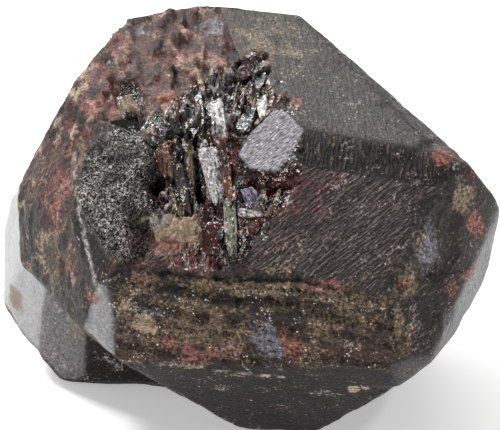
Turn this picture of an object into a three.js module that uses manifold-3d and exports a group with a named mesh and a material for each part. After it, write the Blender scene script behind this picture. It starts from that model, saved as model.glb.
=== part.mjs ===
/**
 * Garnet crystal: a dark, nearly opaque hand specimen with a smaller crystal grown
 * into its lower left flank.
 *
 * Each crystal is the space inside a list of flat growth faces. A face is given by the
 * way it looks and by how far it lies from the heart of its crystal. The two crystals
 * are joined into one solid, the broken places are cut out of it as wedges and pits,
 * and the whole is stood on z = 0 with its middle on the z axis.
 *
 * Frame: millimetres, +Z up, -Y towards the best side, +X to its right.
 */
import * as THREE from 'three';
import { ConvexGeometry } from 'three/addons/geometries/ConvexGeometry.js';
import { mergeVertices } from 'three/addons/utils/BufferGeometryUtils.js';
import Module from 'manifold-3d';

// ---- Driving sizes, in millimetres -------------------------------------------------

// Hearts of the two crystals, above the plane that the specimen stands on.
const MAIN_HEART = new THREE.Vector3(4, 2, 25);
const SIDE_HEART = new THREE.Vector3(-17, 9, 12);

// How near to a face a corner may lie and still count as inside it.
const CORNER_TOLERANCE = 1e-6;

// Growth faces: name, azimuth and elevation of the outward normal in degrees (azimuth
// turns from +X to +Y), and distance from the heart. Dodecahedral faces are broad, the
// trapezohedral ones are the bevels between them.
const MAIN_FACES = [
  ['front', -96, 41, 21.25],
  ['front bevel above', -93, 57, 20.25],
  ['top', -76, 77, 18.5],
  ['top rim at the right', -14, 73, 20.2],
  ['belly bevel', -99, 1, 26.75],
  ['lower front', -99, -6, 27],
  ['underside at the front', -96, -40, 26],
  ['right bevel', -59, 21, 29.5],
  ['right', -50, 14, 30],
  ['right below', -51, 6, 30.5],
  ['right flank', -21, -15, 27.3],
  ['right toe', -60, -33, 30.7],
  ['left plate', -117, 42, 24],
  ['left bevel', -132, 23, 29.5],
  ['left toe', -123, -5, 31.25],
  ['left shoulder', -154, 32, 29],
  ['left', -148, 5, 31],
  ['broken crown', -107, 75, 19],
  ['rim behind the right corner', 7, 41, 24],
  ['back right above', 28, 32, 17.2],
  ['back right', 10, -2, 23.5],
  ['underside at the right', -6, -34, 24.8],
  ['underside at the right front', -24, -48, 24.8],
  ['underside at the left front', -159, -49, 25.1],
  ['underside at the left', -163, -52, 25.3],
  ['back left', 161, -7, 28.5],
  ['back left above', 157, 22, 28],
  ['back above at the left', 106, 42, 25.5],
  ['back above', 80, 37, 21.5],
  ['back', 90, -15, 24],
  ['back right below', 48, -12, 25],
  ['back left below', 130, -8, 26],
  ['underside at the back', 100, -50, 24],
];
const SIDE_FACES = [
  ['left glare face', -159, 8, 13.5],
  ['front left', -141, -4, 12.5],
  ['front', -112, -12, 11.3],
  ['front under the main crystal', -96, -13, 11],
  ['underside at the front', -96, -45, 13.8],
  ['back left', 163, -5, 13.8],
  ['underside at the left', -169, -39, 13.8],
  ['top left', 164, 36, 16.8],
  ['top', -100, 80, 14],
  ['back', 110, 0, 12.5],
  ['back above', 105, 42, 13],
  ['back left above', 140, 20, 13.8],
  ['back right', 62, -8, 15],
  ['underside at the back', 120, -45, 12.5],
  ['underside at the back left', 165, -52, 13],
  ['grown into the main crystal', 20, 0, 18],
];

// Broken places. A wedge is a V-shaped cut: `at` is the middle of its mouth line,
// measured from the main heart, `out` points out of the crystal, and `along` is the way
// that the cut runs. It is `width` wide at `rise` above `at`, and `depth` deep below it.
const BREAKS = [
  { name: 'main rift', at: [-5.5, -12, 11.5], out: [-0.05, -0.65, 0.76], along: [0.2, 0.83, 0.52],
    length: 31, width: 8.5, rise: 6, depth: 1 },
  { name: 'rift beside the plate', at: [-11.5, -11, 14], out: [-0.15, -0.6, 0.78], along: [0.3, 0.8, 0.5],
    length: 17, width: 6, rise: 4, depth: 0.5 },
  { name: 'beige pocket', at: [-12.6, -21.5, 6.3], out: [-0.08, -0.75, 0.66], along: [1, -0.1, 0.1],
    length: 9, width: 6, rise: 1, depth: 1.4 },
  { name: 'hole beside the plate', at: [-14.7, -17.1, 11], out: [-0.2, -0.7, 0.68], along: [0.1, 0.65, 0.75],
    length: 3.6, width: 2.6, rise: 0.6, depth: 3 },
  { name: 'hollow above the plate', at: [-18.8, -5.8, 16.5], out: [-0.2, -0.4, 0.9], along: [0.1, 0.9, 0.4],
    length: 8.5, width: 5.5, rise: 0.8, depth: 2.6 },
  { name: 'slit under the grey facet', at: [0.5, -18.3, 11.5], out: [-0.05, -0.7, 0.7], along: [1, -0.1, 0.1],
    length: 9, width: 2.6, rise: 0.6, depth: 1.8 },
  { name: 'crown groove at the left', at: [-22.5, 2.5, 18.6], out: [-0.3, -0.1, 0.95], along: [0.1, 1, 0.2],
    length: 14, width: 4, rise: 0.8, depth: 1 },
  { name: 'crown groove in the middle', at: [-15, 3, 19.4], out: [-0.1, -0.2, 0.97], along: [0.15, 1, 0.25],
    length: 15, width: 5, rise: 0.8, depth: 1.4 },
  { name: 'crown groove at the right', at: [-8, 5.5, 19.8], out: [-0.05, -0.2, 0.97], along: [0.2, 1, 0.25],
    length: 14, width: 4.5, rise: 0.8, depth: 1.6 },
];

// ---- Solids ------------------------------------------------------------------------

const wasm = await Module();
wasm.setup();

/** Turns a closed three.js geometry into a manifold solid. */
function toSolid(geometry) {
  const bare = geometry.index ? geometry.toNonIndexed() : geometry.clone();
  bare.deleteAttribute('normal');
  bare.deleteAttribute('uv');
  const merged = mergeVertices(bare);
  return new wasm.Manifold(new wasm.Mesh({
    numProp: 3,
    vertProperties: merged.attributes.position.array,
    triVerts: new Uint32Array(merged.index.array),
  }));
}

/** Turns a manifold solid back into a flat-shaded three.js geometry. */
function toGeometry(solid) {
  const mesh = solid.getMesh();
  const geometry = new THREE.BufferGeometry();
  geometry.setAttribute('position', new THREE.BufferAttribute(mesh.vertProperties, 3));
  geometry.setIndex(new THREE.BufferAttribute(mesh.triVerts, 1));
  return geometry;
}

/** The growth faces of one crystal as planes, with the plane it stands on. */
function facePlanes(faces, heart) {
  const planes = faces.map(([, azimuth, elevation, distance]) => {
    const polar = THREE.MathUtils.degToRad(90 - elevation);
    const turn = THREE.MathUtils.degToRad(azimuth + 90);
    const flat = new THREE.Vector3().setFromSphericalCoords(1, polar, turn);
    const normal = new THREE.Vector3(flat.x, -flat.z, flat.y);
    return new THREE.Plane(normal, -normal.dot(heart) - distance);
  });
  planes.push(new THREE.Plane(new THREE.Vector3(0, 0, -1), 0));
  return planes;
}

/** The point that three planes share, or null where two of them are parallel. */
function cornerOf(a, b, c) {
  const edge = new THREE.Vector3().crossVectors(b.normal, c.normal);
  const volume = a.normal.dot(edge);
  if (Math.abs(volume) < CORNER_TOLERANCE) return null;
  return edge.multiplyScalar(-a.constant)
    .addScaledVector(new THREE.Vector3().crossVectors(c.normal, a.normal), -b.constant)
    .addScaledVector(new THREE.Vector3().crossVectors(a.normal, b.normal), -c.constant)
    .divideScalar(volume);
}

/** The convex crystal inside all of its growth faces. */
function crystal(faces, heart) {
  const planes = facePlanes(faces, heart);
  const corners = [];
  for (let i = 0; i < planes.length; i += 1) {
    for (let j = i + 1; j < planes.length; j += 1) {
      for (let k = j + 1; k < planes.length; k += 1) {
        const corner = cornerOf(planes[i], planes[j], planes[k]);
        const inside = corner
          && planes.every((plane) => plane.distanceToPoint(corner) < CORNER_TOLERANCE);
        if (inside) corners.push(corner);
      }
    }
  }
  return toSolid(new ConvexGeometry(corners));
}

/** A V-shaped cutter with its ridge inside the crystal and its mouth outside. */
function wedge({ at, out, along, length, width, rise, depth }) {
  const middle = new THREE.Vector3(...at).add(MAIN_HEART);
  const up = new THREE.Vector3(...out).normalize();
  const side = new THREE.Vector3().crossVectors(new THREE.Vector3(...along), up).normalize();
  const run = new THREE.Vector3().crossVectors(up, side);
  const ridgeShare = 0.7;
  const points = [];
  for (const end of [-0.5, 0.5]) {
    for (const edge of [-0.5, 0.5]) {
      points.push(middle.clone()
        .addScaledVector(run, end * length)
        .addScaledVector(side, edge * width)
        .addScaledVector(up, rise));
    }
    points.push(middle.clone()
      .addScaledVector(run, end * length * ridgeShare)
      .addScaledVector(up, -depth));
  }
  return toSolid(new ConvexGeometry(points));
}

// ---- The specimen ------------------------------------------------------------------

function garnetCrystal() {
  let solid = crystal(MAIN_FACES, MAIN_HEART).add(crystal(SIDE_FACES, SIDE_HEART));
  for (const place of BREAKS) solid = solid.subtract(wedge(place));

  const geometry = toGeometry(solid);
  geometry.computeBoundingBox();
  const middle = geometry.boundingBox.getCenter(new THREE.Vector3());
  geometry.translate(-middle.x, -middle.y, 0);
  geometry.computeVertexNormals();

  const material = new THREE.MeshStandardMaterial({ color: '#4a3a35', roughness: 0.4, metalness: 0 });
  const mesh = new THREE.Mesh(geometry, material);
  mesh.name = 'garnet_crystal';
  return mesh;
}

const group = new THREE.Group();
group.add(garnetCrystal());

export default group;
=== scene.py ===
"""Garnet crystal: the finished look of the specimen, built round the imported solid.

The main crystal and the smaller one on its flank are each the space inside a list of
flat growth faces. Seen from one point inside both, every direction meets the skin
exactly once, so the whole skin is one function: direction in, distance out. The
broken crown, the rift, the plate and the pits are heights added to that function.
"""
import math
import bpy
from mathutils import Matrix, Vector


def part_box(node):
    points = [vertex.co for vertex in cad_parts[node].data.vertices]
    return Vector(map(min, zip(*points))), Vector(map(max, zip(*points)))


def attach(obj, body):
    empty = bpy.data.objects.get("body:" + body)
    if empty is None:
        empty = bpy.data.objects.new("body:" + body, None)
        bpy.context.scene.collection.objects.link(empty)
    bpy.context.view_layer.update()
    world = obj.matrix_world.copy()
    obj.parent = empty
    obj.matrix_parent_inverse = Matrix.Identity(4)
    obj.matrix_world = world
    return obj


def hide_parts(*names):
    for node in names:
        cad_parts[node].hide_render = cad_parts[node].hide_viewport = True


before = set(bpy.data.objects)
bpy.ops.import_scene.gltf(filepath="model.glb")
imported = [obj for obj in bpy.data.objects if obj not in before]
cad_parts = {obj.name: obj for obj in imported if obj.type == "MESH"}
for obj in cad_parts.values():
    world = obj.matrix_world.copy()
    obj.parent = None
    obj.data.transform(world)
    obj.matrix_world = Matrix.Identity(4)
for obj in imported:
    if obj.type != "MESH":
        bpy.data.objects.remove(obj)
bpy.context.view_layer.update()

from types import SimpleNamespace

import bpy
import numpy as np
from mathutils import Vector

bl_info = {
    "name": "Garnet crystal",
    "version": (1, 0, 0),
    "blender": (4, 5, 0),
    "location": "3D View > Sidebar > Garnet",
    "description": "Builds a dark garnet hand specimen with a broken rift, and its stage",
    "category": "Add Mesh",
}

MM = 0.001

# ---- The growth faces ---------------------------------------------------------------
# The specimen's own frame is in millimetres: +Z up, -Y to the best side, z = 0 is the
# plane it stands on. Azimuth turns from +X to +Y.

MAIN_HEART = np.array([4.0, 2.0, 25.0])
SIDE_HEART = np.array([-17.0, 9.0, 12.0])
# A point inside both crystals, from which the skin is measured out.
SHARED_HEART = np.array([-2.0, 4.0, 20.0])
# Middle of the specimen's own extent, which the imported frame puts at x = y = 0.
OWN_MIDDLE = np.array([-0.543, 0.378, 0.0])
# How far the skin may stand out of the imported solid's box, in mm.
SKIN_SPARE = 0.5
# The best-lit broken place. The grid of the skin is finest round it.
RIFT_MIDDLE = np.array([-3.5, -14.0, 38.0])
RING_CROWDING = 1.25

# How sharply the nearest face wins over the others, for edges blunted by 1 mm.
EDGE_SHARPNESS = 430.0
# Under this, two faces count as one when the gap to an edge is measured.
LEAST_SINE_SQUARED = 0.02
FAR = 99.0
# The smaller crystal's faces are numbered from here.
SIDE_NUMBERS = 100
# How strongly lines show on the face it stands on.
GROUND_LINES = 0.2
# Width in mm over which the films of two faces blend, as an edge blunted by so much.
FILM_FADE = 0.05

# name: (azimuth, elevation, distance from the heart, turn of the growth lines in the
# face in degrees from level, how strongly the lines show, and, on faces that have one,
# the film on the whole face and how thickly it lies)
MAIN_FACES = {
    "front": (-96, 41, 21.25, 42, 1.0, "brown", 0.7),
    "front bevel above": (-93, 57, 20.25, 86, 0.9, "dark", 1.0),
    "top": (-76, 77, 18.5, 84, 0.45, "olive", 1.0),
    "top rim at the right": (-14, 73, 20.2, 60, 0.4, "pale", 0.35),
    "belly bevel": (-99, 1, 26.75, -3, 0.8),
    "lower front": (-99, -6, 27, 6, 0.6, "weathered", 0.25),
    # The dark film on the undersides is painted shade: it darkens faces that turn down into shadow.
    "underside at the front": (-96, -40, 26, 3, 0.15, "dark", 0.9),
    "right bevel": (-59, 21, 29.5, 60, 0.5, "olive", 1.3),
    "right": (-50, 14, 30, 40, 0.5, "brown", 0.7),
    "right below": (-51, 6, 30.5, 14, 1.0, "dark", 0.8),
    "right flank": (-21, -15, 27.3, 70, 0.3, "steel_film", 0.8),
    "right toe": (-60, -33, 30.7, 20, 0.4, "steel_film", 0.3),
    "left plate": (-117, 42, 24, 60, 0.3),
    "left bevel": (-132, 23, 29.5, 50, 0.3, "dark", 0.8),
    "left toe": (-123, -5, 31.25, 60, 0.2, "pale", 0.78),
    "left shoulder": (-154, 32, 29, 75, 0.7, "weathered", 0.4),
    "left": (-148, 5, 31, -60, 0.6),
    "broken crown": (-107, 75, 19, 80, 0.4, "weathered", 0.55),
    "rim behind the right corner": (7, 41, 24, 30, 0.4, "pale", 0.15),
    "back right above": (28, 32, 17.2, 40, 0.8),
    "back right": (10, -2, 23.5, 60, 0.6),
    "underside at the right": (-6, -34, 24.8, 10, 0.6),
    # The dark films on these two undersides are painted shade.
    "underside at the right front": (-24, -48, 24.8, 10, 0.5, "dark", 0.8),
    "underside at the left front": (-159, -49, 25.1, 20, 0.5, "dark", 0.8),
    "underside at the left": (-163, -52, 25.3, 20, 0.5),
    "back left": (161, -7, 28.5, 70, 0.6),
    "back left above": (157, 22, 28, 60, 0.8),
    "back above at the left": (106, 42, 25.5, 40, 0.8),
    "back above": (80, 37, 21.5, 50, 1.0),
    "back": (90, -15, 24, 10, 0.9),
    "back right below": (48, -12, 25, 30, 0.8),
    "back left below": (130, -8, 26, 60, 0.7),
    "underside at the back": (100, -50, 24, 0, 0.6),
}
SIDE_FACES = {
    # The glare face's strong pale film is a painted reflection: the glare of a bright light on this
    # facet.
    "side glare face": (-159, 8, 13.5, 80, 0.2, "pale", 1.2),
    "side front left": (-141, -4, 12.5, 80, 0.2, "pale", 0.9),
    "side front": (-112, -12, 11.3, 70, 0.3, "pale", 0.55),
    # The dark films on the smaller crystal's lower faces are painted shade, under the main crystal's
    # overhang.
    "side front under": (-96, -13, 11, 10, 0.3, "dark", 1.0),
    "side underside front": (-96, -45, 13.8, 10, 0.3, "dark", 1.0),
    "side back left": (163, -5, 13.8, 60, 0.5, "pale", 0.45),
    # This dark film is painted shade on an underside.
    "side underside left": (-169, -39, 13.8, 10, 0.4, "dark", 1.0),
    "side top left": (164, 36, 16.8, 40, 0.4, "pale", 0.3),
    "side top": (-100, 80, 14, 40, 0.4),
    "side back": (110, 0, 12.5, 60, 0.6),
    "side back above": (105, 42, 13, 50, 0.6),
    "side back left above": (140, 20, 13.8, 60, 0.6),
    "side back right": (62, -8, 15, 60, 0.6),
    "side underside back": (120, -45, 12.5, 0, 0.5),
    "side underside back left": (165, -52, 13, 0, 0.5),
    "side grown in": (20, 0, 18, 0, 0.0),
}
CRYSTALS = ((MAIN_FACES, MAIN_HEART), (SIDE_FACES, SIDE_HEART))

# ---- Named places on the skin, in the specimen's own millimetres -----------------------

# Each place: how ragged its rim is in mm, the grain of that in mm, its seed, the depths
# inside the rim at which it begins and is whole, and its flat, convex outline.
OUTLINES = {
    # The etched grey facet.
    "grey": (0.05, 0.8, 31, 0, 0.12, [
        (-1.5, -13.5, 39), (0, -11, 41), (3, -7.5, 42), (4.5, -8, 42), (6.5, -11, 41), (5, -14, 39),
        (3.5, -15.5, 37.5), (0, -15, 37.5)]),
    # The raised black plate.
    "plate": (0.25, 1.2, 37, 0, 0.25, [
        (-17.8, -8.8, 39.4), (-15.3, -9.5, 40.5), (-12.1, -11.2, 39.4), (-11.2, -13.1, 37.9),
        (-11.9, -15.8, 34.7), (-13, -18.8, 30.6), (-14.1, -20.9, 28.5), (-15.8, -21.1, 28),
        (-17.7, -19.8, 29.6), (-20.5, -14.8, 31.8), (-21, -12.5, 34.1), (-19.8, -10.6, 37.2)]),
    # The hollow behind the plate, black as a fresh break and darkened a little more by painted shade, and
    # its khaki patch.
    "hollow": (0.7, 1.5, 41, 0, 0.9, [
        (-16.7, -3.4, 42.2), (-16.6, 0.6, 42.2), (-15.8, 1.3, 42.6), (-13.8, 0.1, 42.8),
        (-12.8, -2.7, 42.4), (-12.1, -6.3, 41.2), (-12.3, -8.9, 40.2), (-13.4, -9.2, 39.6),
        (-15.4, -9.7, 40.3), (-16.5, -5.4, 40.8)]),
    "khaki": (0.25, 0.8, 42, 0, 0.3, [
        (-15.3, -1, 41.4), (-14.5, -1.4, 41.2), (-13.6, -3.8, 41), (-13, -5.8, 40.6),
        (-16.4, -6.2, 40.9), (-16.2, -4.1, 41.3)]),
    # The beige lump.
    "beige": (0.7, 1.5, 43, 0, 0.9, [
        (-12, -18.5, 32), (-10, -17.5, 33.5), (-6, -18, 33), (-5.5, -20.5, 30.5), (-7, -21.5, 29.5),
        (-11, -20.5, 29.5)]),
    # The scratched dark ground under the plate.
    "scratched": (0.6, 1.5, 47, 0, 0.9, [
        (-16, -18.5, 30.5), (-12, -18, 33), (-11.5, -20, 30.5), (-12, -21.5, 28.5), (-15.5, -22, 28)]),
    # The deep red cavity under the grey facet.
    "cavity": (0.45, 1.1, 51, 0, 0.6, [
        (-0.5, -15.2, 37.3), (1.5, -15.6, 37), (4, -15.8, 37.2), (6.5, -16.2, 37), (5, -17.2, 35.6),
        (1.5, -17.4, 34.9), (-0.5, -16.6, 35.6)]),
    # The hole beside the plate, made black by painted shade.
    "hole": (0.2, 0.9, 52, 0, 0.5, [
        (-11.2, -13.8, 37.2), (-9.8, -15.4, 35.7), (-10.5, -16.2, 35), (-12.2, -16.2, 35)]),
    # The rift, with all that stands in it.
    "rift": (1.2, 2.5, 23, -0.3, 0.9, [
        (-12, -18, 33), (-12, -12, 39), (-9, -3.5, 42.5), (-4.5, 0.5, 43.5), (1.5, 5, 45),
        (3, -0.5, 43.5), (6.5, -8, 41.5), (6.5, -15, 38), (2, -21, 31), (-2, -23, 28),
        (-8.5, -22.5, 28)]),
}

# How far an outline's walls stand up from its plane and down from it, in mm.
OUTLINE_REACH = 7.0
# How far above or below the face a seam still counts as lying in it, in mm.
SEGMENT_LIFT = 1.5
# The left shoulder is broken above these heights: not yet, and wholly.
SHOULDER_BREAK = (34, 37)
# Weathering of the back begins and is whole at these y.
BACK_FROM = (4, 11)
# Rust-coloured flakes lie only to the left of this x.
RIFT_RUST_END = -1.0

# The rift's splinters fan out from one root, upwards and away from the front.
FAN_ROOT = np.array([-4.5, -23.0, 26.0])
FAN_AXIS = np.array([0.17, 0.83, 0.53])
RIFT_OUT = np.array([-0.05, -0.65, 0.76])
# The fan's own middle lies this far behind its root, in mm.
FAN_BACK = 5.0
BLADES_PER_RADIAN = 20.0
BLADE_LENGTH = 6.0
BLADE_DEPTH = 9.0
# How much finer the thin flakes are: round the fan, along it and in depth.
THIN_BLADES = [2.6, 1.8, 1.0]

# Growth lines: how far apart and how long, in mm, and how far the pattern jumps from one
# face to the next.
LINE_GAP = 1.1
LINE_LENGTH = 9.0
FACE_STEP = 3.7
# As a share of the edge wear.
NICK_DEPTH = 0.5
# Cells of the belly's layers, the crown's lumps, the hollow and the beige lump, in mm, and
# how far the layers fall to the right.
LAYER_SIZE = [7.0, 7.0, 1.5]
LAYER_TILT = 0.12
CROWN_LUMP = [1.9, 4.6, 2.2]
HOLLOW_BREAK = [2.0, 3.0, 2.4]
BEIGE_LUMP = 1.7
FACET_SINK = 0.1
# How far the sunken places lie under the grown skin, in mm.
DEPTHS = {"hollow": 0.9, "beige": 0.2, "scratched": 0.4, "cavity": 1.1, "hole": 2.6}
# Distances from an edge, in mm, between which these begin or end.
NICK_REACH = (0.5, 0.0)
GLINT_REACH = (1.2, 0.2)
COLUMN_REACH = (0.0, 0.8)
# Distances inside the rift, in mm, at which its floor and its splinters reach their full
# depth and height, and the floor's least share of the rift's depth.
FLOOR_REACH = (0.0, 3.5)
SPLINTER_REACH = (0.0, 1.5)
FLOOR_SHARE = 0.75
# A line's half widths from its middle at which it begins and is whole.
SLIT_RIM = (1.3, 0.3)
SEAM_RIM = (2.0, 0.6)
# How thickly films and stains lie in places.
HOLLOW_CLEAN = 0.9
HOLLOW_KHAKI = 1.4
BACK_WEATHERING = 0.55
RIFT_COVER = 0.95
STREAKS = {"beige": 0.62, "red": 0.95, "khaki": 0.6}
# How dark the painted shade in the crown's creases is.
CREASE_SHADE = 0.75
SEAM_PALENESS = 0.42
# The way the grey facet is brushed, and how much finer its lines are across and along.
BRUSHED = [0.75, 0.45, 0.45]
BRUSHED_FINER = (2.0, 1.9)
# A patch is whole up to PATCH_EDGE - 1 of its radii, and is cut off at PATCH_END.
PATCH_EDGE = 1.45
PATCH_END = 3

# Textures: strength (mm where it is a height), grain in mm or along x, y and z, seed,
# octaves, and how strong each finer octave is against the one before.
TEXTURES = {
    "growth lines": (0.09, 1.0, 53, 3, 0.6),
    "waves": (0.10, 7.0, 59, 3, 0.5),
    "fine roughness": (0.03, 1.0, 61, 2, 0.5),
    "layers": (0.35, [2.0, 2.0, 0.9], 73, 4, 0.6),
    "crown warp": (0.3, 3.0, 79, 2, 0.5),
    "crown": (0.4, [1.5, 3.2, 1.8], 89, 3, 0.5),
    "columns": (0.3, [1.2, 2.5, 3.5], 101, 4, 0.6),
    "fan": (0.05, 2.0, 103, 2, 0.5),
    "blades": (0.12, 0.6, 109, 2, 0.5),
    "rift floor": (0.35, 4.0, 113, 1, 0.5),
    "plate": (0.12, 1.2, 131, 3, 0.5),
    "beige lump": (0.3, 0.8, 140, 3, 0.5),
    "cavity": (0.7, 0.9, 141, 2, 0.5),
    "slit rims": (0.5, 0.7, 149, 2, 0.5),
    "seam rims": (0.1, 1.5, 151, 1, 0.5),
    "stain rims": (0.55, 2.2, 301, 4, 0.6),
}
# Patchy masks: the noise's values that count as 0 and as 1, grain as above, and seed.
PATTERNS = {
    "edge wear": (0.1, 0.7, 6.0, 11),
    "nicks": (0.1, 0.7, 1.3, 67),
    # The edge and belly patterns place painted glints.
    "edge chips": (0.0, 0.5, 2.2, 69),
    "belly chips": (-0.1, 0.5, 3.0, 70),
    "beige streaks": (-0.3, 0.5, [1.3, 3.2, 2.2], 157),
    "red streaks": (0.05, 0.5, [1.0, 4.0, 2.2], 163),
    "khaki streaks": (0.3, 0.7, [1.6, 3.0, 2.6], 167),
    "ochre at the back": (-0.1, 0.9, [10, 10, 6], 171),
    "brick at the back": (-0.1, 0.9, [10, 10, 6], 173),
    "khaki at the back": (-0.1, 0.9, [10, 10, 6], 179),
    "creases": (0.16, 0.42, [1.2, 3.4, 2.4], 181),
}

# Narrow slits: start, end, half width, depth. The material darkens them as painted shade.
SLITS = [
    ((-7, -10, 41), (-6, -17, 34.5), 0.45, 3.0),
    ((-1.2, 1.5, 44), (1.9, 3.5, 44.4), 0.5, 2.0),
    ((0.2, -2.2, 43.2), (2.3, 0.6, 43.9), 0.45, 2.0),
    ((-10.5, -22.5, 27.5), (-4, -23.5, 27.3), 0.4, 0.6),
    ((-4, -23.5, 27.3), (5.5, -24.5, 27.5), 0.45, 0.6),
    ((5.5, -24.5, 27.5), (16, -27, 26), 0.35, 0.4),
    ((-4.5, -23.6, 24), (5, -25, 24.6), 0.35, 0.3),
]

# Larger splinters of the rift and its surroundings: kind, start, end, width, thickness,
# how far the flat side is rolled to the right in degrees, and how much they narrow.
BLADES = [
    # The silver blades are partly painted highlights: their bright colour stands in for light caught on
    # the shards.
    ("silver", (-5.4, -12.4, 39.4), (-3.8, -17.2, 34.6), 2, 1.1, -12, 0.2),
    ("silver", (-4.3, -5.4, 42.3), (-3.3, -11.2, 40.3), 1.8, 1.1, 10, 0.5),
    ("gold", (-7.6, -11.4, 39.9), (-6.9, -15.6, 36.2), 1, 1, 18, 0.5),
    ("brown", (-8.8, -13.4, 38.2), (-7.3, -17.8, 33.4), 1.1, 1, 15, 0.3),
    ("black", (-6.5, -9.6, 41), (-9.5, -14.6, 37), 1.6, 1.4, 25, 0.6),
    ("red", (-1.5, -1.2, 43.6), (1.6, 5.2, 44.9), 1.4, 1.1, 12, 0.75),
    ("black", (0.2, -4.2, 42.9), (1.9, 0.2, 43.8), 1.4, 1.1, -14, 0.7),
    ("rust", (-2.9, -14.6, 37.6), (-2.4, -17.3, 34.8), 1, 0.9, 8, 0.1),
    ("green", (-2.5, -16.9, 35.1), (-2.1, -21.6, 29.8), 1.3, 0.9, 8, 0.1),
    ("brown", (-3.1, -11.6, 40.1), (-2.7, -15.2, 37.2), 1.3, 1, -28, 0.3),
    ("slate", (-1, -10.7, 40.9), (0.5, -6.4, 42.3), 1.5, 1.1, -20, 0.4),
    ("silver", (1.6, -4.6, 42.7), (1.5, -8.4, 41.8), 1.1, 0.8, 15, 0.2),
    ("gold", (0.6, -9.8, 41.3), (3.3, -5.9, 42.3), 0.45, 0.5, 0, 0.3),
    ("red", (-4.8, -18.6, 32.6), (-4.5, -21.5, 29.8), 2, 1.2, 10, 0.2),
    # The lavender blade is partly painted glints of violet light.
    ("lavender", (-0.6, -16.4, 35.8), (0.7, -18, 34.2), 1.5, 0.9, -10, 0.3),
    ("silver", (-1.4, -18.5, 33.7), (1.8, -18.8, 33.7), 1, 0.6, 0, 0.4),
    # The crimson blade is partly painted glints of pinkish light.
    ("crimson", (-1.4, -20.4, 31.6), (2.8, -18.4, 33.8), 1.1, 0.8, 15, 0.5),
    ("black", (-12.2, -8.4, 41), (-9.6, -11, 40.2), 2.5, 1.7, 14, 0.1),
    ("rust", (-10.7, -12.1, 39.3), (-10.1, -14.8, 36.7), 1.9, 0.9, 5, 0.8),
    ("rust", (-9.7, -8.4, 41), (-9.5, -3, 42.5), 2.9, 1.6, 8, 0.3),
    ("red", (-2.1, -12.4, 39.6), (-0.8, -16, 36.4), 1.5, 1, -22, 0.4),
    ("black", (-6.2, -3.6, 42.7), (-5.6, -8.6, 41.4), 0.8, 1, 24, 0.4),
    ("black", (-16.6, -8.6, 39.9), (-12.8, -9, 40), 3, 1.4, 14, 0.2),
    ("gold", (-5.7, -2.2, 42.9), (-6.2, -5.8, 42), 0.5, 0.6, 0, 0.4),
]

# Thin cream lines: a seam down the left ridge and hair lines on the underside. Each is a
# half width in mm and a run of places.
SEAMS = [
    (0.22, [
        (-21.5, -8, 36.5), (-20.6, -14, 33), (-20, -17.5, 29.5), (-19, -19.5, 26.5), (-18, -21, 24.4)]),
    (0.11, [(-4.5, -22.8, 13.6), (1, -22.3, 13.6), (4, -22.6, 13.2)]),
    (0.08, [(-1, -23.5, 15.5), (0.4, -22.6, 13.6)]),
]

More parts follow.
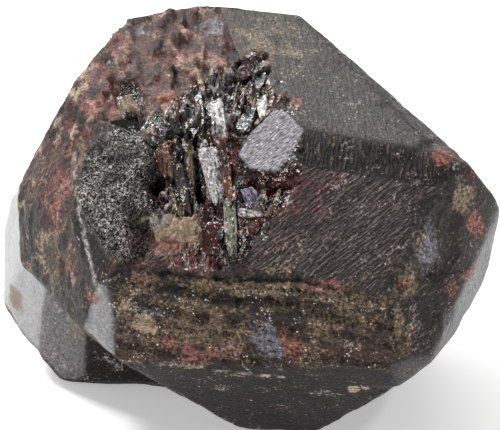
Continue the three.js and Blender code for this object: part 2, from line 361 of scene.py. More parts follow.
# Colour patches in the order in which they are laid: kind, then for each patch its middle,
# its radii along x, y and z, and its strength.
PATCHES = [
    ("ochre", [
        ((-13.5, -22.5, 25.5), (4, 3, 1.6), 0.8), ((-5, -23.8, 26), (7, 3, 1.5), 1),
        ((6, -25, 26.2), (7, 3, 1.2), 0.9), ((14, -26, 25.4), (5, 3, 1.3), 0.9),
        ((-9, -22.5, 23.6), (6, 3, 0.9), 0.8), ((4, -24.8, 24.2), (6, 3, 0.8), 0.7),
        ((9, -26, 22), (2.4, 3, 1.5), 0.9), ((-10.5, -22.5, 20.5), (1.6, 3, 1.2), 1),
        ((-3, -24, 20.5), (4.2, 3, 2.6), 0.75), ((12, -26, 23), (5, 3, 1.5), 0.6),
        ((17.5, -26.5, 20), (2.2, 3, 2.6), 0.6), ((-8, -24, 18.5), (9, 4, 6), 0.7),
        ((6, -25.5, 19), (10, 4, 5), 0.45), ((-24, -11.5, 25), (5, 4, 4), 0.6),
        ((-22, -14.5, 27), (3, 3, 3), 0.5), ((8, -21, 31), (9, 5, 5), 0.22)]),
    ("khaki", [
        ((25.4, -17.5, 34.8), (1.1, 2, 2.8), 1.2), ((20.6, -22, 31.5), (1.2, 1.5, 3.6), 0.95),
        ((-24, -11.5, 26.5), (2.6, 3, 2.4), 0.7), ((-26, -8, 24.5), (2, 3, 2), 0.5),
        ((-29.5, 5.2, 10.5), (1.3, 2, 1.3), 1.2), ((-21, -1.2, 8.5), (2.4, 2, 1.6), 0.7),
        ((-20.2, -9.8, 37.4), (1.4, 2.6, 3), 1), ((22.8, -21.6, 28.6), (0.8, 1.5, 2.2), 0.8)]),
    ("beige", [
        ((-8.8, -19.2, 31.6), (3.4, 3, 2.8), 1.5), ((-12.5, -22.5, 20.5), (1.7, 2, 1.3), 1.1),
        ((-15, -22, 23), (1.4, 2, 1.6), 0.7), ((12.5, -21.2, 11.2), (0.6, 1.5, 0.8), 1.4),
        ((14, -22, 11.6), (0.55, 1.5, 0.6), 1.3), ((-17, -10, 38.8), (2, 1.5, 1.2), 1),
        ((-2, -23.2, 13.4), (4.5, 2, 0.6), 0.7), ((-9, -22.5, 15), (4, 2, 0.8), 0.7)]),
    ("brick", [
        ((-23.2, -9, 32.4), (2.3, 3.2, 4.2), 1.2), ((-24.8, -8, 35), (2.5, 3, 2.5), 0.6),
        ((-15.5, 9, 45), (6, 6, 3), 0.5), ((-18.5, 4.5, 43.5), (5, 5, 3), 0.5),
        ((-11, 5, 44.5), (5, 6, 3), 0.5), ((-5, 6, 45.5), (4, 6, 3), 0.5),
        ((-8, -4, 42.5), (3, 4, 3), 0.5), ((-1, 1.5, 44.5), (3.5, 3.5, 2), 0.7),
        ((-19.5, -5, 41), (3.5, 2.5, 2), 0.9), ((5.5, -6, 42), (0.6, 1.2, 0.8), 1.3),
        ((23, -14.6, 39.2), (1.3, 1.6, 1.1), 1.4), ((27, -17, 31), (1.2, 2, 1.8), 1.2),
        ((26, -18.2, 25.6), (1.2, 2, 1.4), 1.1), ((24.2, -21.2, 24.6), (1.3, 2, 1.3), 0.9),
        ((4.6, -25, 19), (1.5, 2, 2), 1.2), ((-6.8, -23, 16.6), (2.6, 2, 1.3), 1.2),
        ((-9.6, -22.5, 18), (1.6, 2, 1.1), 1.1), ((-16, -21, 24.8), (2.2, 2, 1.3), 0.6),
        ((-18.5, -19.5, 23), (1.2, 2, 0.8), 1), ((9, -25.3, 27), (3, 2, 0.7), 0.9),
        ((-23, -7, 36), (4, 7, 7), 0.55), ((-22.5, -12.5, 29), (3, 3, 4), 0.5),
        ((-14, -20.5, 28), (4, 3, 2.5), 0.45), ((-6, -21.8, 29), (3.6, 2.5, 1.6), 0.9),
        ((-21.5, -15.5, 24.5), (3, 3, 2.5), 0.5), ((3, -19.5, 33), (5, 3, 4), 0.36),
        ((-3, -23.5, 17.5), (10, 3, 3), 0.35)]),
    ("red", [
        ((-25, -10, 28.6), (1.1, 1.6, 1.3), 1.4), ((4.2, -16.4, 36.6), (4.6, 2.5, 1.4), 1.3),
        ((0.2, -18.4, 33.6), (2, 2, 3.4), 1.1), ((4, -18.5, 34.5), (4.5, 3, 3), 0.6),
        ((-6.2, -21.6, 29.2), (3.6, 2, 1.8), 0.6), ((-4.6, -20.4, 31.2), (1.4, 1.6, 1.8), 1.3),
        ((-3, -13, 39), (1.2, 3, 2.5), 1), ((26, -15.2, 37.2), (1.2, 1.5, 0.9), 1.3),
        ((-13.4, -20, 30.2), (1.9, 2, 1.8), 0.9), ((-2.8, 5.5, 45.2), (0.9, 3.5, 1.2), 1),
        ((-17, 0, 42.5), (1, 3, 1.2), 0.9), ((-10.8, 0, 43.4), (0.8, 3, 1.2), 0.9)]),
    ("rust", [
        ((-10.5, -12.9, 38.6), (1.1, 1.6, 1.4), 1.4), ((-9.8, -5.2, 41.8), (1.6, 2, 1.3), 1.2),
        ((18, -24.8, 27.2), (0.9, 1.2, 0.6), 1.2)]),
    # Silver patches in the rift are partly painted highlights: bright grit standing in for light caught
    # on the shards.
    ("silver", [
        ((-5.2, -12.8, 39), (1, 1.4, 1.4), 1.2), ((-4.5, -15.6, 36.4), (0.9, 1.4, 2.2), 1.2),
        ((-3.7, -8.2, 41.4), (0.9, 3.2, 1.6), 1.2), ((-5.9, -4, 42.4), (0.5, 2.2, 1), 1.1),
        ((-7.1, -13.4, 38.4), (0.6, 2, 2.4), 0.9), ((1.5, -6.6, 42.3), (0.8, 1.4, 0.8), 1.1)]),
    # This lavender patch is partly painted glints of violet light.
    ("lavender", [((0, -17.2, 35), (1, 1, 1.2), 1.2)]),
    ("beige", [((0.2, -18.6, 33.4), (1.9, 1, 0.6), 1.1)]),
    ("rust", [((-2, -4, 42.7), (0.7, 1.6, 0.9), 1.2)]),
    ("beige", [((2.6, -23.2, 28.4), (2.4, 1.5, 0.9), 0.45)]),
    ("brick", [((-5.7, -22, 28.8), (2.2, 1.5, 1), 1.4)]),
    ("silver", [((-10.8, -18.2, 32.4), (1.3, 1.5, 1), 1)]),
    ("brick", [((-9.5, -20.4, 29.9), (3, 1.5, 0.8), 1)]),
    ("lavender", [((-10.5, -10, 40.6), (1.6, 1.8, 1), 0.8)]),
    # Painted light: this broad khaki patch lightens the left of the top, as light falling from the upper
    # left and behind would.
    ("khaki", [((2.5, 7, 45.4), (7.5, 8, 3), 0.6)]),
    ("steel", [((20.8, -22.6, 30), (1, 1.5, 2.6), 0.9)]),
    ("khaki", [((19, -24.6, 27.4), (1, 1.5, 2.2), 0.9), ((17.6, -26.4, 23.6), (0.9, 1.5, 3), 0.8)]),
    ("red", [((5.5, -17.6, 35.6), (5, 2.6, 2.6), 0.75)]),
    ("steel", [
        ((2, -24.6, 19.2), (1.8, 2, 3), 1.3), ((-4.5, 9, 46), (1.8, 3, 1.2), 0.8),
        ((-14.5, 10, 45.8), (2.2, 2.5, 1), 0.8), ((-11.5, -22.8, 22.3), (2.4, 2, 0.7), 0.9),
        ((-3.4, -15, 37), (1, 3, 3.4), 1.1), ((-4, -7, 41.8), (1, 2.2, 1.2), 1),
        ((21.6, -21, 32), (1, 1.6, 3.6), 1)]),
]
STAIN_KINDS = ["ochre", "khaki", "beige", "brick", "red", "rust", "steel", "silver", "lavender"]
# The rift's thin flakes each take a colour by chance: kind, from, up to. The silver ones are partly
# painted highlights.
RIFT_MIX = [("rust", 0.42, 0.52), ("red", 0.52, 0.72), ("silver", 0.72, 0.82),
            ("khaki", 0.82, 0.88), ("steel", 0.88, 1.0)]
FILM_KINDS = ["dark", "brown", "olive", "weathered", "steel_film", "pale"]

# ---- Splinters -------------------------------------------------------------------------

# kind: glitter, roughness. The colours have the same names.
SPLINTER_KINDS = {
    "black": (0.35, 0.16), "red": (0.35, 0.16), "brown": (0.5, 0.35), "rust": (0.5, 0.35),
    "silver": (0.9, 0.24), "gold": (0.9, 0.28), "green": (0.5, 0.3), "slate": (0.6, 0.16),
    "lavender": (0.7, 0.18), "crimson": (0.9, 0.2),
}
# Kinds of the small strewn splinters; one that comes twice is twice as common.
STREWN = ["black", "black", "black", "brown", "red", "brown", "rust", "gold", "slate",
          "crimson", "red"]
# How far strewn splinters stay clear of the named places and of the two silver blades and
# the slit between them, in mm.
CLEAR_OF = {"grey": 1.3, "plate": 0.9, "beige": 0.7}
CLEAR_OF_BLADES = 1.9
CLEAR_OF_SLIT = 1.2

# A splinter's rings: where they lie along it, how wide they are, and how far a corner may
# be shifted along the run, as the ends are broken off ragged.
RING_PLACES = np.array([0.0, 0.12, 0.5, 0.85, 1.0])
RING_WIDTHS = np.array([0.75, 0.95, 1.0, 0.92, 0.65])
RING_SHIFTS = np.array([0.5, 0.3, 0.7, 0.35, 0.6])
RING_CORNERS = 4
# A four-sided ring's half width over its corners' radius.
CORNER_SHARE = 0.7
# How far the corners are shoved, and where the closing points lie, both as shares.
CORNER_SHOVE = 0.3
END_POINTS = (-0.02, 1.03)
# How far the pattern of the fibres jumps from one splinter to the next.
FIBRE_STEP = 9.0
STREWN_LENGTHS = (1.5, 4.5)
STREWN_WIDTHS = (0.3, 1.0)
# Thickness over width.
STREWN_THICKNESS = (0.4, 0.9)

GARNET_IOR = 1.78
# How many glinting facets, and pale flakes that are painted glints, fit into a metre.
FACETS_PER_METRE = 3300
GLINTS_PER_METRE = 5500


# ---- Settings a user would change ------------------------------------------------------

def linear(hex_colour):
    """An sRGB hex colour as linear red, green, blue and a full alpha."""
    parts = [int(hex_colour[i:i + 2], 16) / 255 for i in (1, 3, 5)]
    return [c / 12.92 if c <= 0.04045 else ((c + 0.055) / 1.055) ** 2.4 for c in parts] + [1.0]


def colour_setting(name, description, hex_colour):
    """A colour property whose default is a hex colour."""
    return bpy.props.FloatVectorProperty(name=name, description=description, subtype="COLOR",
                                         size=4, min=0, max=1, default=linear(hex_colour))


def length_setting(name, description, default, least, most):
    """A length in millimetres."""
    return bpy.props.FloatProperty(name=name, description=description + ", in mm",
                                   default=default, min=least, max=most)


def count_setting(name, description, default, least, most):
    return bpy.props.IntProperty(name=name, description=description,
                                 default=default, min=least, max=most)


class GarnetShape(bpy.types.PropertyGroup):
    """Sizes of the skin and counts of its parts."""
    rings: count_setting("Rings", "Rings of the skin's grid, from the rift to the far side",
                         178, 24, 190)
    spokes: count_setting("Spokes", "Points on each ring of the skin's grid", 544, 48, 560)
    edge_round: length_setting("Edge rounding", "How far the sharpest edges are worn back",
                               0.12, 0.02, 2)
    edge_wear: length_setting("Edge wear", "How far the most worn stretches are rounded off",
                              0.2, 0, 3)
    rift_splinters: count_setting("Rift splinters", "Small splinters strewn in the rift",
                                  140, 1, 1000)
    crown_relief: length_setting("Crown relief", "Height of the broken crown's lumps", 1.15, 0, 4)
    rift_depth: length_setting("Rift depth", "Depth of the rift's floor", 1.2, 0, 8)
    plate_height: length_setting("Plate height", "How far the black plate stands out", 1.0, 0, 2)


class GarnetColours(bpy.types.PropertyGroup):
    """Colours of the stone and of what lies on it."""
    # The dark colour is also the film laid on the undersides as painted shade.
    dark: colour_setting("Dark stone", "Nearly black body of the garnet", "#1a1514")
    brown: colour_setting("Brown stone", "Browner parts of the body", "#2e211d")
    ochre: colour_setting("Ochre film", "Rusty olive film", "#7d6a52")
    khaki: colour_setting("Khaki crust", "Thicker, paler crust", "#7f6c56")
    beige: colour_setting("Beige crust", "Pale pinkish beige matrix", "#bda68c")
    brick: colour_setting("Brick weathering", "Pinkish brick-red weathered garnet", "#89564c")
    red: colour_setting("Fresh red", "Deep red of a fresh break", "#461012")
    rust: colour_setting("Rust", "Orange-brown iron stain", "#7c4526")
    weathered: colour_setting("Weathered stone", "Pinkish brown, chalky weathering", "#725046")
    steel: colour_setting("Steel sheen", "Cool grey mica-like sheen", "#74747d")
    steel_film: colour_setting("Steel film", "Dark blue-grey film", "#4a4c50")
    pale: colour_setting("Pale face", "Silvery smooth growth face", "#b2b2b4")
    # Pale grains, partly painted glints.
    speck_and_glint: colour_setting("Specks", "Small pale grains", "#a89c93")
    black: colour_setting("Black splinters", "Glassy splinters that let no light out", "#0e0b0c")
    # Partly painted glints: the crimson is lightened to stand in for pinkish glints.
    crimson: colour_setting("Crimson splinters", "Thin, light-filled splinters", "#6e2c2a")
    gold: colour_setting("Golden splinters", "Splinters with an iron film", "#6d5436")
    # Partly painted highlights: the bright silver stands in for light caught on the shards.
    silver: colour_setting("Silver splinters", "Splinters faced with fine mica", "#c2bdbe")
    green: colour_setting("Green splinters", "A chlorite-faced blade", "#77786a")
    slate: colour_setting("Slate splinters", "Blue-black blades", "#3d4049")
    # Partly painted glints of violet light on the splinters.
    lavender: colour_setting("Lavender splinters", "A violet-grey sheen", "#8f86a0")
    # Pale flakes, also the plate's net and the seams; as flakes they are partly painted glints.
    flake_and_glint: colour_setting("Flakes", "Single flakes of mica and iron film", "#e8e1d8")
    olive: colour_setting("Olive stone", "Greyer film on the top and the right bevel", "#34312b")
    streak: colour_setting("Streaks", "Pale dust in the growth lines", "#7d6b60")
    grainy: colour_setting("Grainy facet", "Etched lavender-grey facet", "#99949b")
    floor: colour_setting("Floor", "Pale studio floor", "#f4f4f4")


# ---- Noise on whole arrays -------------------------------------------------------------

def hashed(cells, seed):
    """A number from 0 to 1 for each whole-numbered cell, by mixing the cell's bits."""
    c = cells.astype(np.int64)
    mixed = c[..., 0] * 374761393 + c[..., 1] * 668265263 + c[..., 2] * 1440662683 + seed * 69069
    mixed &= 0xFFFFFFFF
    mixed = ((mixed ^ (mixed >> 13)) * 1274126177) & 0xFFFFFFFF
    mixed = ((mixed ^ (mixed >> 15)) * 974634777) & 0xFFFFFFFF
    return (mixed ^ (mixed >> 16)) / 4294967296.0


def noise(points, seed):
    """Gradient noise, about -1 to 1: each lattice corner has a random slope, and the
    eight slopes round a point are blended by a smooth step."""
    base = np.floor(points)
    inner = points - base
    fade = inner ** 3 * (inner * (inner * 6 - 15) + 10)
    total = np.zeros(points.shape[:-1])
    for corner in np.ndindex(2, 2, 2):
        offset = inner - corner
        slope = sum((hashed(base + corner, seed + k) * 2 - 1) * offset[..., k] for k in range(3))
        share = np.prod(np.where(corner, fade, 1 - fade), axis=-1)
        total += share * slope
    return total * 1.6


def fractal(points, seed, octaves=4, gain=0.5):
    """Noise summed over octaves: each is twice as fine and `gain` times as strong."""
    total, strength = 0.0, 1.0
    for octave in range(octaves):
        total = total + strength * noise(points * 2.0 ** octave, seed + 17 * octave)
        strength *= gain
    return total


def texture(points, name):
    """One of the skin's named textures."""
    strength, grain, seed, octaves, gain = TEXTURES[name]
    return strength * fractal(points / grain, seed, octaves, gain)


def pattern(points, name):
    """One of the skin's named patchy masks, from 0 to 1."""
    low, high, grain, seed = PATTERNS[name]
    return smooth(low, high, fractal(points / grain, seed, 3))


def splinters(points, seed):
    """Cuts space into cells, one round each jittered lattice point. Gives the offset from
    the cell's own point and three random numbers of the cell."""
    base = np.floor(points)
    nearest = np.full(points.shape[:-1], FAR)
    offset = np.zeros_like(points)
    chance = np.zeros_like(points)
    for step in np.ndindex(3, 3, 3):
        cell = base + np.array(step) - 1
        random = np.stack([hashed(cell, seed + k) for k in range(3)], axis=-1)
        away = points - (cell + 0.5 + (random - 0.5) * 0.9)
        distance = np.linalg.norm(away, axis=-1)
        closer = distance < nearest
        nearest = np.where(closer, distance, nearest)
        offset = np.where(closer[..., None], away, offset)
        chance = np.where(closer[..., None], random, chance)
    return offset, chance


def facets(places, seed, step, tilt, level=0.5, balance=0.5, cross_tilt=0.0, axis=0):
    """Broken facets. Each cell is one plane: it stands up to `step` higher or lower, leans
    by up to `tilt` along one axis and by up to `cross_tilt` along the next, and `level`
    and `balance` say which chances mean level ground. Also gives the cell's last chance."""
    offset, chance = splinters(places, seed)
    height = step * (chance[:, 0] - level) + tilt * offset[:, axis] * (chance[:, 1] - balance)
    height += cross_tilt * offset[:, (axis + 1) % 3] * (chance[:, 2] - 0.5)
    return height, chance[:, 2]


def smooth(low, high, value):
    """A smooth step from 0 at `low` to 1 at `high`."""
    t = np.clip((value - low) / (high - low), 0, 1)
    return t * t * (3 - 2 * t)


# ---- The skin ---------------------------------------------------------------------------

def unit(vector):
    vector = np.asarray(vector, float)
    return vector / np.linalg.norm(vector, axis=-1, keepdims=True)


def face_normals(faces):
    """Outward normals from azimuth and elevation."""
    turn = np.radians([f[0] for f in faces.values()])
    lift = np.radians([f[1] for f in faces.values()])
    return np.stack([np.cos(lift) * np.cos(turn), np.cos(lift) * np.sin(turn), np.sin(lift)], -1)


def polar_grid(rings, spokes):
    """Unit directions on rings round the line from the shared heart to the rift. Ring i
    lies at the angle pi * t^RING_CROWDING from that line, so rings are finer near the
    rift. The first and last directions are the two poles."""
    pole = unit(RIFT_MIDDLE - SHARED_HEART)
    east = unit(np.cross([0, 0, 1], pole))
    north = np.cross(pole, east)
    t = np.arange(1, rings + 1) / (rings + 1)
    tilt = (np.pi * t ** RING_CROWDING)[:, None]
    turn = (np.arange(spokes) * 2 * np.pi / spokes)[None, :]
    ring_part = np.sin(tilt)[..., None] * (np.cos(turn)[..., None] * east
                                           + np.sin(turn)[..., None] * north)
    grid = (ring_part + np.cos(tilt)[..., None] * pole).reshape(-1, 3)
    return np.vstack([pole, grid, -pole])


def polar_faces(rings, spokes):
    """Quads between the rings and triangles at the two poles, all facing outwards."""
    ring = np.arange(rings * spokes).reshape(rings, spokes) + 1
    after = np.roll(ring, -1, axis=1)
    quads = np.stack([ring[:-1], ring[1:], after[1:], after[:-1]], -1).reshape(-1, 4)
    first = np.stack([np.zeros(spokes, int), ring[0], after[0]], -1)
    last = np.stack([np.full(spokes, rings * spokes + 1), after[-1], ring[-1]], -1)
    return quads, np.vstack([first, last])


def crystal_reach(directions, faces, heart, blunt):
    """Distance from the shared heart to one crystal's skin. Each face alone is reached at
    d / (n . direction); the nearest one counts, and a soft maximum of the reciprocals
    blunts the edges by about `blunt` millimetres. Also gives each face's share."""
    normals = np.vstack([face_normals(faces), [0, 0, -1]])
    reach = np.array([f[2] for f in faces.values()] + [heart[2]])
    offsets = reach + normals @ (heart - SHARED_HEART)
    nearness = directions @ normals.T / offsets
    sharpness = EDGE_SHARPNESS / np.broadcast_to(blunt, len(directions))[:, None]
    top = nearness.max(axis=1, keepdims=True)
    shares = np.exp((nearness - top) * sharpness)
    total = shares.sum(axis=1, keepdims=True)
    inverse = top + np.log(total) / sharpness
    return 1 / inverse[:, 0], shares / total, normals, offsets


def edge_gap(points, own, normals, offsets):
    """Distance in the face from each point to its nearest edge: how far it lies below
    every other face's plane, over the sine of the angle between the two faces."""
    below = offsets - (points - SHARED_HEART) @ normals.T
    turn = np.sqrt(np.maximum(1 - (normals[own] @ normals.T) ** 2, LEAST_SINE_SQUARED))
    gaps = below / turn
    gaps[np.arange(len(points)), own] = FAR
    return gaps.min(axis=1)


def outline_depth(points, corners):
    """How far a point lies inside a flat, convex outline, in mm and negative outside: the
    least of its distances to the walls that stand on the outline's sides."""
    corners = np.asarray(corners, float)
    middle = corners.mean(axis=0)
    _, _, axes = np.linalg.svd(corners - middle)
    least = np.full(len(points), FAR)
    for start, end in zip(corners, np.roll(corners, -1, axis=0)):
        inward = unit(np.cross(axes[2], end - start))
        inward = inward * np.sign((middle - start) @ inward)
        least = np.minimum(least, (points - start) @ inward)
    near = np.abs((points - middle) @ axes[2]) < OUTLINE_REACH
    return np.where(near, least, -FAR)


def segment_distance(points, start, end, normal=None):
    """Distance from each point to the straight line between two places. With normals,
    up to SEGMENT_LIFT of the height over the face is left out."""
    start, end = np.asarray(start), np.asarray(end)
    run = end - start
    t = np.clip((points - start) @ run / (run @ run), 0, 1)
    away = points - start - t[:, None] * run
    if normal is not None:
        over = (away * normal).sum(-1, keepdims=True)
        away = away - normal * np.clip(over, -SEGMENT_LIFT, SEGMENT_LIFT)
    return np.linalg.norm(away, axis=1)


def in_face_frame(points, own, normals, faces):
    """Coordinates across and along the growth lines of each point's own face."""
    turns = np.radians([f[3] for f in faces.values()] + [0])
    level = unit(np.cross([0, 0, 1], normals) + [1e-6, 0, 0])
    slope = np.cross(normals, level)
    along = np.cos(turns)[:, None] * level + np.sin(turns)[:, None] * slope
    across = np.cross(normals, along)
    return (points * across[own]).sum(-1), (points * along[own]).sum(-1)


def grown_skin(shape):
    """Both crystals as they grew, with worn edges, as whole arrays: points, normals, the
    gap to the next edge, the place across and along the growth lines, how strong these
    are, the number of the point's face, and whether it is on the smaller crystal."""
    directions = polar_grid(shape.rings, shape.spokes)
    plain = [crystal_reach(directions, *crystal, shape.edge_round)[0] for crystal in CRYSTALS]
    base = SHARED_HEART + directions * np.maximum(*plain)[:, None]
    blunt = shape.edge_round + pattern(base, "edge wear") * shape.edge_wear
    reaches = [crystal_reach(directions, *crystal, blunt) for crystal in CRYSTALS]
    on_side = reaches[1][0] > reaches[0][0]
    points = SHARED_HEART + directions * np.maximum(reaches[0][0], reaches[1][0])[:, None]
    both = []
    for (faces, _), (_, share, normals, offsets) in zip(CRYSTALS, reaches):
        own = share.argmax(axis=1)
        lines = np.array([f[4] for f in faces.values()] + [GROUND_LINES])[own]
        across, along = in_face_frame(points, own, normals, faces)
        gap = edge_gap(points, own, normals, offsets)
        both.append(np.column_stack([share @ normals, gap, across, along, lines, own]))
    chosen = np.where(on_side[:, None], both[1], both[0])
    gap, across, along, lines, own = chosen[:, 3:].T
    return SimpleNamespace(directions=directions, points=points, normal=unit(chosen[:, :3]), gap=gap,
                           across=across, along=along, lines=lines, on_side=on_side,
                           own=own + SIDE_NUMBERS * on_side)


def broken_places(grown):
    """How far each point belongs to each broken or crusted place, from 0 to 1."""
    names = list(MAIN_FACES)

    def on(*faces):
        return np.isin(grown.own, [names.index(face) for face in faces]).astype(float)

    points, at = grown.points, SimpleNamespace()
    for name, (ragged, grain, seed, low, high, corners) in OUTLINES.items():
        depth = outline_depth(points, corners) + ragged * fractal(points / grain, seed, 3)
        setattr(at, name, smooth(low, high, depth))
        if name == "rift":
            at.rift_depth = depth
    at.crown = on("broken crown") + 0.6 * on("left shoulder") * smooth(*SHOULDER_BREAK, points[:, 2])
    at.layered = on("belly bevel", "lower front")
    at.ragged = on("left shoulder", "left")
    at.cavity *= 1 - at.grey
    at.hole *= 1 - at.plate
    at.rift *= (1 - at.plate) * (1 - at.grey) * (1 - at.beige)
    return at


def rift_blades(points):
    """The rift's splinters, which fan out from one root: heights in mm, and a random
    number for each of the thinner flakes between them."""
    up = unit(RIFT_OUT)
    axis = unit(FAN_AXIS - up * (FAN_AXIS @ up))
    away = points - FAN_ROOT
    reach_up, reach_aside = away @ axis, away @ np.cross(axis, up)
    fan = np.arctan2(reach_aside, reach_up + FAN_BACK) + texture(points, "fan")
    place = np.stack([fan * BLADES_PER_RADIAN, np.hypot(reach_aside, reach_up) / BLADE_LENGTH,
                      away @ up / BLADE_DEPTH], -1)
    thick, _ = facets(place, 107, step=1.5, tilt=2.2, balance=0.35, cross_tilt=0.8)
    thin, chance = facets(place * THIN_BLADES + 9.0, 111, step=0.5, tilt=0.5)
    return thick + thin + texture(points, "blades"), chance


def carved(grown, at, shape):
    """Heights over the grown skin in mm, place by place. Adds to the broken places what
    the material needs later: the painted shade of the pits, the chance of the rift's
    flakes, and the grey facet's own upward direction."""
    points, gap = grown.points, grown.gap
    line_place = np.stack([grown.across / LINE_GAP, grown.along / LINE_LENGTH,
                           grown.own * FACE_STEP], -1)
    height = grown.lines * texture(line_place, "growth lines")
    height += texture(points, "waves") + texture(points, "fine roughness")
    height -= NICK_DEPTH * smooth(*NICK_REACH, gap) * pattern(points, "nicks") * shape.edge_wear

    # Belly and lower front: ragged layers that lie one on another.
    layer_place = np.stack([points[:, 0], points[:, 1], points[:, 2] + LAYER_TILT * points[:, 0]], -1)
    offset, chance = splinters(layer_place / LAYER_SIZE, 71)
    height += at.layered * (0.6 * (chance[:, 0] - 0.6) + 0.5 * offset[:, 2])
    height += at.layered * texture(points, "layers")

    # Crown: lumps and flat breaks that run up the slope.
    warped = points / CROWN_LUMP + texture(points, "crown warp")[:, None]
    lumps, _ = facets(warped, 83, step=0.7, level=0.75, tilt=1.3, cross_tilt=0.8)
    height += at.crown * shape.crown_relief * (lumps + texture(points, "crown"))
    # Left shoulder and left face: fine ragged columns.
    height += at.ragged * smooth(*COLUMN_REACH, gap) * texture(points, "columns")

    blades, at.flake_chance = rift_blades(points)
    floor = smooth(*FLOOR_REACH, at.rift_depth) * (FLOOR_SHARE + texture(points, "rift floor"))
    blades = blades * smooth(*SPLINTER_REACH, at.rift_depth)
    height = height * (1 - at.rift) + at.rift * (blades - shape.rift_depth * floor)

    # The grey facet lies in one plane through its outline.
    corners = np.array(OUTLINES["grey"][-1], float)
    middle = corners.mean(axis=0)
    at.facet_up = np.linalg.svd(corners - middle)[2][2]
    at.facet_up *= np.sign(at.facet_up @ unit(RIFT_OUT))
    slant = np.maximum(grown.normal @ at.facet_up, 0.5)
    to_facet = ((middle - points) @ at.facet_up) / slant - FACET_SINK
    height = height * (1 - at.grey) + at.grey * np.clip(to_facet, -2, 1)

    # The plate is raised, and the other places are sunk.
    plate = shape.plate_height + texture(points, "plate")
    height = height * (1 - at.plate) + at.plate * plate
    breaks, _ = facets(points / HOLLOW_BREAK, 137, step=0.9, tilt=1.6)
    height += at.hollow * (breaks - DEPTHS["hollow"] + 0.5 * at.khaki) * (1 - at.plate)
    lumps, _ = facets(points / BEIGE_LUMP, 139, step=0.5, tilt=0.6, axis=2)
    height += at.beige * (lumps - DEPTHS["beige"] + texture(points, "beige lump"))
    height -= at.scratched * DEPTHS["scratched"]
    height -= at.cavity * (DEPTHS["cavity"] + texture(points, "cavity"))
    height -= at.hole * DEPTHS["hole"]

    # Painted shade: the hole, a little of the hollow and each slit are marked here to be darkened in the
    # colour, as shade that falls into them.
    at.pit = np.maximum(at.hole, 0.2 * at.hollow)
    for start, end, half_width, depth in SLITS:
        distance = segment_distance(points, start, end) + half_width * texture(points, "slit rims")
        cut = smooth(*SLIT_RIM, distance / half_width)
        height -= cut * depth
        at.pit = np.maximum(at.pit, cut)
    return height


def seam_lines(points, normal):
    """1 on the thin cream lines."""
    seam = np.zeros(len(points))
    rim = texture(points, "seam rims")
    for half_width, run in SEAMS:
        for start, end in zip(run, run[1:]):
            distance = segment_distance(points, start, end, normal) + rim
            seam = np.maximum(seam, smooth(*SEAM_RIM, distance / half_width))
    return seam


def stain_masks(points):
    """One mask for each kind of stain. A patch is 1 in its middle and falls off with the
    distance in units of its radii, and noise frays its rim."""
    fray = texture(points, "stain rims")
    masks = {kind: np.zeros(len(points)) for kind in STAIN_KINDS}
    patches = [(kind, *patch) for kind, run in PATCHES for patch in run]
    for number, (kind, middle, radii, strength) in enumerate(patches):
        distance = np.linalg.norm((points - middle) / radii, axis=1)
        patch = strength * np.clip(PATCH_EDGE - distance + fray * (1 if number % 2 else -1), 0, 1)
        masks[kind] = np.maximum(masks[kind], np.where(distance < PATCH_END, patch, 0))
    return masks


def material_masks(grown, at, points):
    """The numbers that the material reads: one array for each name, and the place of each
    point in the grain of its face."""
    masks = stain_masks(points)
    for kind in STAIN_KINDS:
        masks[kind] *= 1 - HOLLOW_CLEAN * at.hollow

    def cover(kind, amount):
        masks[kind] = np.maximum(masks[kind], amount)

    cover("khaki", HOLLOW_KHAKI * at.khaki)
    # The back is weathered in broad patches.
    whole = (1 - at.crown) * (1 - at.rift) * (1 - at.plate) * (1 - at.hollow) * (1 - at.beige)
    away = smooth(*BACK_FROM, points[:, 1])
    for kind in ("ochre", "brick", "khaki"):
        cover(kind, BACK_WEATHERING * away * whole * pattern(points, kind + " at the back"))
    for kind, low, high in RIFT_MIX:
        chosen = (at.flake_chance > low) * (at.flake_chance < high)
        if kind == "rust":
            chosen = chosen * (points[:, 0] < RIFT_RUST_END)
        cover(kind, RIFT_COVER * at.rift * chosen)
    # Streaks of lighter and darker matter run up the crown and down the left side, and
    # black creases there are painted shade in the cracks.
    streaky = (at.crown + 0.8 * at.ragged) * (1 - at.hollow)
    for kind, strength in STREAKS.items():
        cover(kind, strength * streaky * pattern(points, kind + " streaks"))
    at.pit = np.maximum(at.pit, CREASE_SHADE * streaky * pattern(points, "creases"))

    # Painted glints: pale flakes are laid along the edges and on the layered belly, in patches, where
    # single grains would catch the light.
    chips = smooth(*GLINT_REACH, grown.gap) * pattern(grown.points, "edge chips")
    chips = np.maximum(chips, at.layered * pattern(grown.points, "belly chips"))
    masks.update(
        fresh=np.maximum.reduce([at.rift, at.hollow * (1 - at.khaki), at.cavity]),
        crown=at.crown, grey=at.grey, pit=at.pit, cavity=at.cavity, chips=chips,
        plate=np.maximum(at.plate, 0.85 * at.scratched),
        seam=SEAM_PALENESS * seam_lines(grown.points, grown.normal),
        lines=np.maximum(grown.lines * whole, at.grey),
        rough=0.7 * np.maximum(at.layered, at.ragged) + 0.2 * at.crown + 0.3 * at.beige)
    # Films belong to whole faces, and fade into one another. The dark film on the undersides is painted
    # shade.
    masks.update({kind: np.zeros(len(points)) for kind in FILM_KINDS})
    for crystal, here in zip(CRYSTALS, (~grown.on_side, grown.on_side)):
        share = crystal_reach(grown.directions, *crystal, FILM_FADE)[1]
        for number, face in enumerate(crystal[0].values()):
            kind, strength = face[5:] or ("dark", 0.0)
            masks[kind] += here * share[:, number] * strength

    # Brushed lines cross the grey facet from corner to corner.
    brushed, on_facet = unit(BRUSHED), at.grey > 0.3
    facet_across = points @ np.cross(at.facet_up, brushed)
    across = np.where(on_facet, BRUSHED_FINER[0] * facet_across, grown.across)
    along = np.where(on_facet, BRUSHED_FINER[1] * (points @ brushed), grown.along)
    return masks, np.stack([across, along, grown.own * FACE_STEP * ~on_facet], -1)


